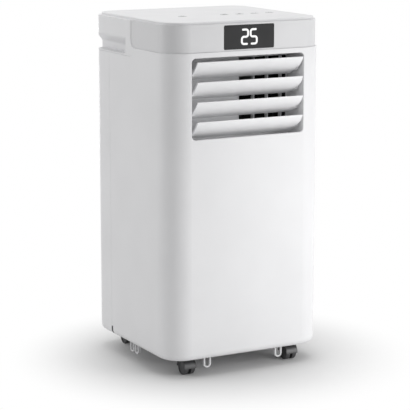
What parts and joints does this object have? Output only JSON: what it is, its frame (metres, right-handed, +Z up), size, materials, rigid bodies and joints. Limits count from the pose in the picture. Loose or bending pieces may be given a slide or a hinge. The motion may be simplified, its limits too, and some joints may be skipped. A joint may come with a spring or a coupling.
{
  "type": "portable air conditioner",
  "caption": "Tall white portable air conditioner on castors, with a front outlet of curved louvres on one link, a dark display, press keys in the lid and side grips.",
  "frame": {"origin": "on the floor, under the middle of the bounding box", "axes": "+Z up, the front with the louvres faces -Y, +X to the right as seen from the back"},
  "size_m": [0.353, 0.35, 0.705],
  "materials": {
    "cabinet_white": "satin, very fine grain",
    "band_grey": "satin",
    "lid_white": "satin",
    "key_white": "satin",
    "smoked_window": "smooth, dark grey",
    "louvre_white": "satin",
    "link_white": "satin",
    "duct_white": "satin",
    "grille_grey": "satin",
    "intake_white": "satin",
    "filter_mesh": "fine mesh in a frame",
    "collar_white": "satin",
    "gland_dark": "matt",
    "screw_steel": "plated",
    "pan_grey": "satin",
    "loop_pale": "satin",
    "plug_rubber": "matt",
    "castor_hood_grey": "satin",
    "castor_wheel_grey": "satin",
    "sheet_steel": "galvanised",
    "foam_white": "moulded",
    "hood_black": "moulded, unlit",
    "fan_black": "moulded",
    "motor_metal": "plain",
    "coil_aluminium": "finned",
    "compressor_black": "semi-gloss",
    "grommet_rubber": "matt",
    "copper": "bare copper tube",
    "board_green": "coated board",
    "box_plastic": "moulded",
    "pump_grey": "moulded"
  },
  "bodies": {
    "cabinet": {"base_loops": "loop_pale", "base_pan": "pan_grey", "cold_coil": "coil_aluminium", "cold_motor": "motor_metal", "cold_scroll": "foam_white", "compressor": "compressor_black", "compressor_grommets": "grommet_rubber", "condensate_pump": "pump_grey", "control_box": "box_plastic", "cord_gland": "gland_dark", "cover_screws": "screw_steel", "deck": "sheet_steel", "deck_columns": "sheet_steel", "discharge_pipe": "copper", "display_board": "board_green", "display_window": "smoked_window", "exhaust_collar": "collar_white", "exhaust_duct": "foam_white", "front_shell": "cabinet_white", "hot_coil": "coil_aluminium", "hot_motor": "motor_metal", "hot_scroll": "foam_white", "key_board": "board_green", "left_handle": "cabinet_white", "liquid_pipe": "copper", "lower_intake_grille": "intake_white", "main_board": "board_green", "outlet_duct": "duct_white", "outlet_grille": "grille_grey", "outlet_hood": "hood_black", "rear_cover": "cabinet_white", "right_handle": "cabinet_white", "suction_pipe": "copper", "swing_motor": "motor_metal", "top_band": "band_grey", "top_lid": "lid_white"},
    "louvre_1": {"louvre_1": "louvre_white"},
    "louvre_2": {"louvre_2": "louvre_white"},
    "louvre_3": {"louvre_3": "louvre_white"},
    "louvre_4": {"louvre_4": "louvre_white"},
    "louvre_link": {"louvre_link": "link_white"},
    "cold_fan": {"cold_fan": "fan_black"},
    "hot_fan": {"hot_fan": "fan_black"},
    "castor_hood_front_left": {"castor_hood_front_left": "castor_hood_grey"},
    "castor_wheels_front_left": {"castor_wheels_front_left": "castor_wheel_grey"},
    "castor_hood_front_right": {"castor_hood_front_right": "castor_hood_grey"},
    "castor_wheels_front_right": {"castor_wheels_front_right": "castor_wheel_grey"},
    "castor_hood_rear_left": {"castor_hood_rear_left": "castor_hood_grey"},
    "castor_wheels_rear_left": {"castor_wheels_rear_left": "castor_wheel_grey"},
    "castor_hood_rear_right": {"castor_hood_rear_right": "castor_hood_grey"},
    "castor_wheels_rear_right": {"castor_wheels_rear_right": "castor_wheel_grey"},
    "key_power": {"key_power": "key_white"},
    "key_mode": {"key_mode": "key_white"},
    "key_fan": {"key_fan": "key_white"},
    "key_down": {"key_down": "key_white"},
    "key_up": {"key_up": "key_white"},
    "intake_door": {"upper_intake_grille": "intake_white", "air_filter": "filter_mesh"},
    "drain_plug": {"drain_plug": "plug_rubber"}
  },
  "joints": [
    {"name": "louvre_2_swing", "type": "hinge", "parent": "cabinet", "child": "louvre_2", "pos_m": [0, -0.14871, 0.56288], "axis": [1, 0, 0], "range_deg": [-12, 28]},
    {"name": "louvre_1_swing", "type": "hinge", "parent": "cabinet", "child": "louvre_1", "pos_m": [0, -0.14871, 0.60148], "axis": [1, 0, 0], "range_deg": [-12, 28]},
    {"name": "louvre_3_swing", "type": "hinge", "parent": "cabinet", "child": "louvre_3", "pos_m": [0, -0.14871, 0.52428], "axis": [1, 0, 0], "range_deg": [-12, 28]},
    {"name": "louvre_4_swing", "type": "hinge", "parent": "cabinet", "child": "louvre_4", "pos_m": [0, -0.14871, 0.48568], "axis": [1, 0, 0], "range_deg": [-12, 28]},
    {"name": "louvre_link_pivot", "type": "hinge", "parent": "louvre_2", "child": "louvre_link", "pos_m": [-0.117, -0.11929, 0.55203], "axis": [1, 0, 0], "range_deg": [-28, 12]},
    {"name": "cold_fan_spin", "type": "hinge", "parent": "cabinet", "child": "cold_fan", "pos_m": [-0.04, 0.064, 0.512], "axis": [0, 1, 0], "continuous": true},
    {"name": "hot_fan_spin", "type": "hinge", "parent": "cabinet", "child": "hot_fan", "pos_m": [0.04, 0.064, 0.16], "axis": [0, 1, 0], "continuous": true},
    {"name": "castor_front_left_swivel", "type": "hinge", "parent": "cabinet", "child": "castor_hood_front_left", "pos_m": [-0.118, -0.12, 0.046], "axis": [0, 0, 1], "continuous": true},
    {"name": "castor_front_left_roll", "type": "hinge", "parent": "castor_hood_front_left", "child": "castor_wheels_front_left", "pos_m": [-0.118, -0.132, 0.015], "axis": [1, 0, 0], "continuous": true},
    {"name": "castor_front_right_swivel", "type": "hinge", "parent": "cabinet", "child": "castor_hood_front_right", "pos_m": [0.118, -0.12, 0.046], "axis": [0, 0, 1], "continuous": true},
    {"name": "castor_front_right_roll", "type": "hinge", "parent": "castor_hood_front_right", "child": "castor_wheels_front_right", "pos_m": [0.118, -0.132, 0.015], "axis": [1, 0, 0], "continuous": true},
    {"name": "castor_rear_left_swivel", "type": "hinge", "parent": "cabinet", "child": "castor_hood_rear_left", "pos_m": [-0.118, 0.12, 0.046], "axis": [0, 0, 1], "continuous": true},
    {"name": "castor_rear_left_roll", "type": "hinge", "parent": "castor_hood_rear_left", "child": "castor_wheels_rear_left", "pos_m": [-0.118, 0.132, 0.015], "axis": [1, 0, 0], "continuous": true},
    {"name": "castor_rear_right_swivel", "type": "hinge", "parent": "cabinet", "child": "castor_hood_rear_right", "pos_m": [0.118, 0.12, 0.046], "axis": [0, 0, 1], "continuous": true},
    {"name": "castor_rear_right_roll", "type": "hinge", "parent": "castor_hood_rear_right", "child": "castor_wheels_rear_right", "pos_m": [0.118, 0.132, 0.015], "axis": [1, 0, 0], "continuous": true},
    {"name": "key_power_press", "type": "slide", "parent": "cabinet", "child": "key_power", "axis": [0, 0, -1], "range_m": [0, 0.001], "stiffness_N_per_m": 400},
    {"name": "key_mode_press", "type": "slide", "parent": "cabinet", "child": "key_mode", "axis": [0, 0, -1], "range_m": [0, 0.001], "stiffness_N_per_m": 400},
    {"name": "key_fan_press", "type": "slide", "parent": "cabinet", "child": "key_fan", "axis": [0, 0, -1], "range_m": [0, 0.001], "stiffness_N_per_m": 400},
    {"name": "key_down_press", "type": "slide", "parent": "cabinet", "child": "key_down", "axis": [0, 0, -1], "range_m": [0, 0.001], "stiffness_N_per_m": 400},
    {"name": "key_up_press", "type": "slide", "parent": "cabinet", "child": "key_up", "axis": [0, 0, -1], "range_m": [0, 0.001], "stiffness_N_per_m": 400},
    {"name": "intake_door_hinge", "type": "hinge", "parent": "cabinet", "child": "intake_door", "pos_m": [0, 0.17225, 0.429], "axis": [-1, 0, 0], "range_deg": [0, 60]},
    {"name": "drain_plug_pull", "type": "slide", "parent": "cabinet", "child": "drain_plug", "axis": [0, 1, 0], "range_m": [0, 0.03]}
  ],
  "couplings": [
    {"joint": "louvre_1_swing", "follows": "louvre_2_swing", "ratio": 1},
    {"joint": "louvre_3_swing", "follows": "louvre_2_swing", "ratio": 1},
    {"joint": "louvre_4_swing", "follows": "louvre_2_swing", "ratio": 1},
    {"joint": "louvre_link_pivot", "follows": "louvre_2_swing", "ratio": -1}
  ]
}
